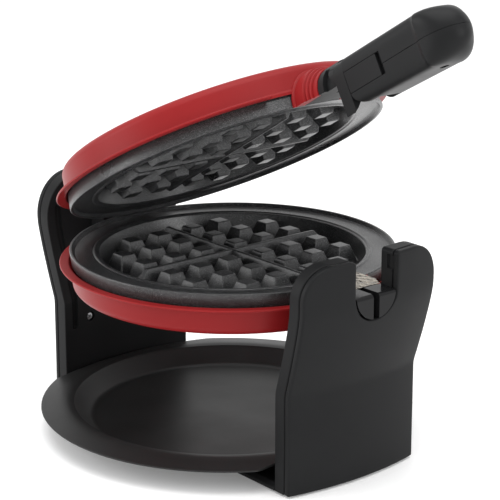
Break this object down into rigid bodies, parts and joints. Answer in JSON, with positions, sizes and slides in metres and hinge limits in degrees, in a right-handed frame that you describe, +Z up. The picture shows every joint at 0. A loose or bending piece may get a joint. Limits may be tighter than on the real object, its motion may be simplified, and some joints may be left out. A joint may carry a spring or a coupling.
{
  "type": "rotating waffle maker",
  "caption": "Countertop waffle maker: hinged round halves with studded plates turn between the towers of a stand, over a slide-out drip tray, with a folding grip on the lid.",
  "frame": {"origin": "on the surface it stands on, under the middle of the cooking plates", "axes": "+X along the axis that the halves turn about, from the hinge tower to the tower with the notch; +Y across; +Z up"},
  "size_m": [0.3767, 0.2588, 0.3195],
  "materials": {
    "stand_plastic": "fine-grained satin black moulded plastic",
    "grip_plastic": "satin black heat-proof plastic",
    "gloss_black_plastic": "smooth glossy black plastic",
    "red_housing": "satin-gloss red",
    "non_stick_plate": "dark grey non-stick coating with a fine sparkle",
    "tray_coating": "satin black coating",
    "bright_sheet": "bright rolled sheet",
    "steel": "plain bright steel",
    "rubber": "matt black rubber",
    "amber_lens": "clear amber plastic",
    "green_lens": "clear green plastic"
  },
  "bodies": {
    "stand": {"base_plate": "stand_plastic", "foot_1": "rubber", "foot_2": "rubber", "foot_3": "rubber", "foot_4": "rubber", "front_tower_inner_shell": "stand_plastic", "front_tower_outer_cover": "stand_plastic", "rear_tower_inner_shell": "stand_plastic", "rear_tower_outer_cover": "stand_plastic", "front_tower_screw_1": "steel", "front_tower_screw_2": "steel", "rear_tower_screw_1": "steel", "rear_tower_screw_2": "steel", "axle_bearing_bush": "gloss_black_plastic", "cord_gland": "rubber", "browning_control": "steel"},
    "browning_dial": {"browning_wheel": "stand_plastic"},
    "tray": {"drip_tray": "tray_coating"},
    "lower_half": {"lower_housing": "red_housing", "lower_cooking_plate": "non_stick_plate", "lower_heating_element": "steel", "lower_reflector": "bright_sheet", "lower_thermostat": "steel", "lower_power_lens": "amber_lens", "lower_ready_lens": "green_lens", "lower_journal": "gloss_black_plastic", "lower_neck_shield": "bright_sheet", "hinge_carrier": "stand_plastic", "hinge_pin": "steel", "axle_retaining_ring": "steel"},
    "lid": {"upper_housing": "red_housing", "upper_cooking_plate": "non_stick_plate", "upper_heating_element": "steel", "upper_reflector": "bright_sheet", "upper_thermostat": "steel", "upper_power_lens": "amber_lens", "upper_ready_lens": "green_lens", "upper_journal": "gloss_black_plastic", "handle_hub": "grip_plastic", "handle_pin": "steel"},
    "grip": {"grip_upper_shell": "grip_plastic", "grip_lower_shell": "grip_plastic", "grip_side_plate_near": "grip_plastic", "grip_side_plate_far": "grip_plastic", "grip_screw": "steel"}
  },
  "joints": [
    {"name": "flip", "type": "hinge", "parent": "stand", "child": "lower_half", "pos_m": [0, 0, 0.1314], "axis": [1, 0, 0], "range_deg": [0, 90]},
    {"name": "lid_hinge", "type": "hinge", "parent": "lower_half", "child": "lid", "pos_m": [-0.1075, 0, 0.1507], "axis": [0, -1, 0], "range_deg": [-30.4, 64.6]},
    {"name": "handle_fold", "type": "hinge", "parent": "lid", "child": "grip", "pos_m": [0.1417, 0, 0.2645], "axis": [0, 1, 0], "range_deg": [0, 90]},
    {"name": "tray_slide", "type": "slide", "parent": "stand", "child": "tray", "axis": [0, -1, 0], "range_m": [0, 0.28]},
    {"name": "browning_turn", "type": "hinge", "parent": "stand", "child": "browning_dial", "pos_m": [0.1178, 0.0361, 0.0379], "axis": [1, 0, 0], "range_deg": [-135, 135]}
  ]
}
